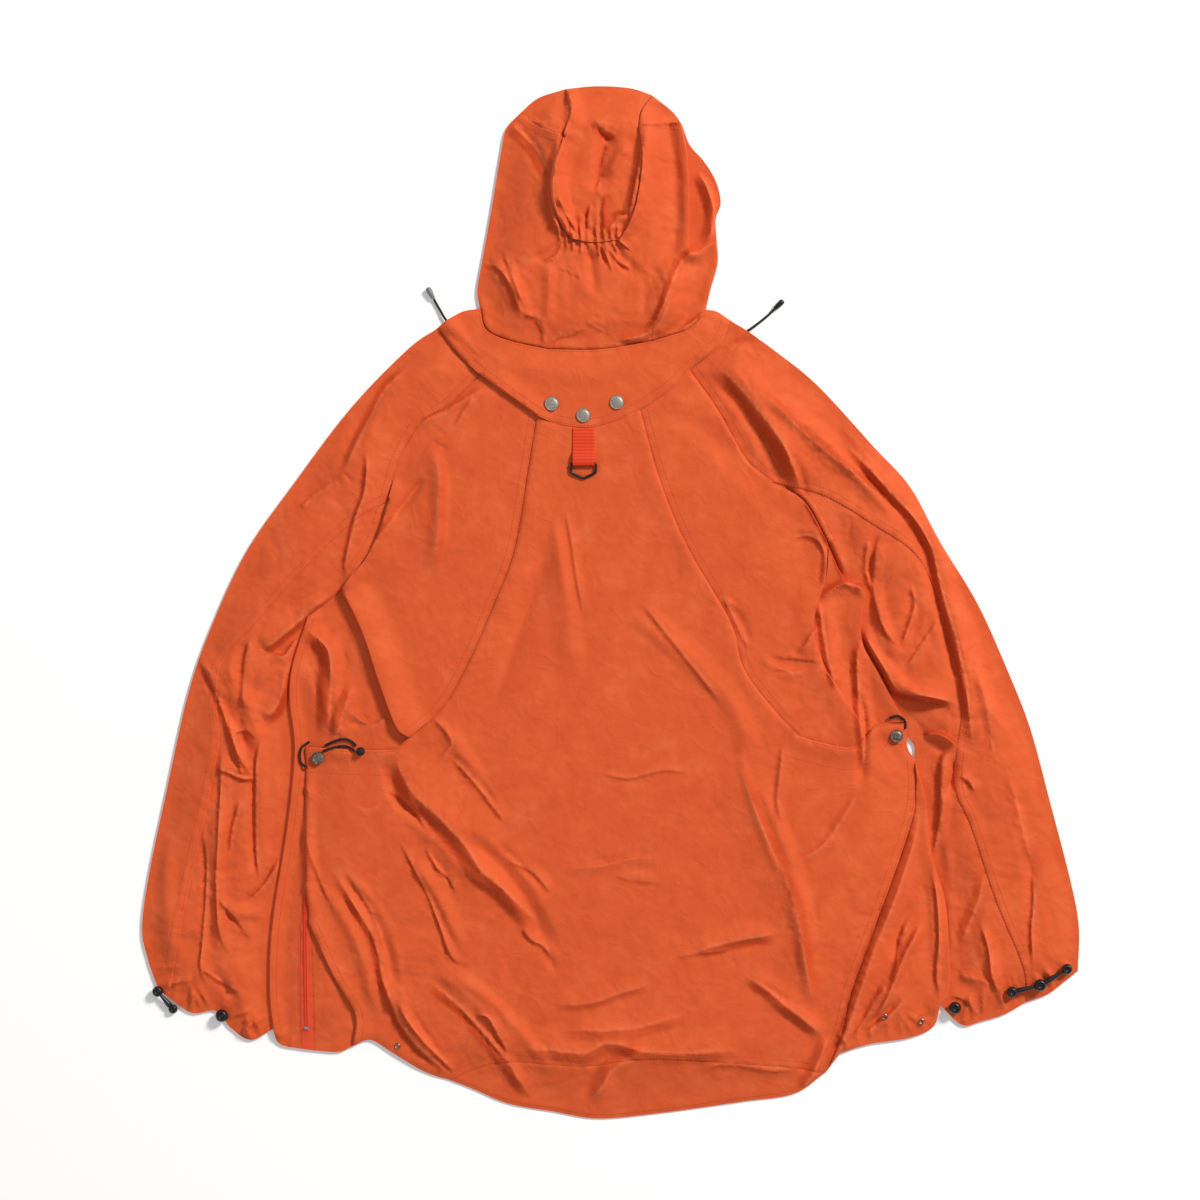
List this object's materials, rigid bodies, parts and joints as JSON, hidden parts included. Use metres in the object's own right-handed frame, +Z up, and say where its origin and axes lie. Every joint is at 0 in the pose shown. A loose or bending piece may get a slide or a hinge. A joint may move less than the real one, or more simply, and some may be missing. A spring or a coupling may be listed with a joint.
{
  "type": "hooded jacket",
  "caption": "Oversized hooded shell jacket lying flat on its front, with a gathered hood, scalloped yoke flap, webbing hanging loop with a swinging D-ring, and a longer rounded back hem.",
  "frame": {"origin": "middle of the jacket's plan, on the surface it lies on", "axes": "+Z up from the surface, towards the jacket's back; +Y towards the hood; +X towards the right-hand sleeve as seen from above"},
  "size_m": [0.939, 1.0346, 0.0239],
  "materials": {
    "shell_cloth": "two-tone nylon shell, soft sheen",
    "webbing": "woven nylon webbing",
    "zip_tape": "woven zip tape with coil",
    "nickel": "brushed nickel plate",
    "antique_nickel": "darkened nickel plate",
    "black_plastic": "moulded black plastic",
    "black_cord": "braided black cord"
  },
  "bodies": {
    "jacket": {"back_centre": "shell_cloth", "back_side_left": "shell_cloth", "back_side_right": "shell_cloth", "cuff_elastic_1": "black_cord", "cuff_elastic_2": "black_cord", "cuff_elastic_3": "black_cord", "cuff_lock_left_a": "black_plastic", "cuff_lock_left_b": "black_plastic", "cuff_lock_left_c": "black_plastic", "cuff_lock_right_a": "black_plastic", "cuff_lock_right_b": "black_plastic", "cuff_lock_right_c": "black_plastic", "cuff_lock_right_d": "black_plastic", "front_left": "shell_cloth", "front_right": "shell_cloth", "front_zip_strip": "shell_cloth", "hem_band": "shell_cloth", "hem_eyelet_1": "antique_nickel", "hem_eyelet_2": "antique_nickel", "hem_eyelet_3": "antique_nickel", "hood_brim": "shell_cloth", "hood_centre": "shell_cloth", "hood_cord_gland_left": "black_plastic", "hood_cord_gland_right": "black_plastic", "hood_cord_left": "black_cord", "hood_cord_right": "black_cord", "hood_cord_tip_left": "black_plastic", "hood_cord_tip_right": "black_plastic", "hood_crown_left": "shell_cloth", "hood_crown_right": "shell_cloth", "hood_front": "shell_cloth", "hood_left": "shell_cloth", "hood_nape": "shell_cloth", "hood_right": "shell_cloth", "pocket_cord_knot": "black_cord", "pocket_cord_lower": "black_cord", "pocket_cord_upper": "black_cord", "pocket_loop_left": "black_cord", "pocket_loop_right": "black_cord", "pocket_snap_left": "antique_nickel", "pocket_snap_right": "antique_nickel", "ring_strap": "webbing", "side_gusset_left": "shell_cloth", "side_left": "shell_cloth", "side_right": "shell_cloth", "side_zip_tape": "zip_tape", "sleeve_left_front": "shell_cloth", "sleeve_left_inner": "shell_cloth", "sleeve_left_outer": "shell_cloth", "sleeve_right_front": "shell_cloth", "sleeve_right_inner": "shell_cloth", "sleeve_right_outer": "shell_cloth", "underarm_panel_right": "shell_cloth", "yoke": "shell_cloth", "yoke_snap_1": "nickel", "yoke_snap_2": "nickel", "yoke_snap_3": "nickel"},
    "d_ring": {"d_ring": "black_plastic"}
  },
  "joints": [
    {"name": "ring_hinge", "type": "hinge", "parent": "jacket", "child": "d_ring", "pos_m": [-0.02717, 0.139, 0.01545], "axis": [-1, 0, 0], "range_deg": [0, 150]}
  ]
}
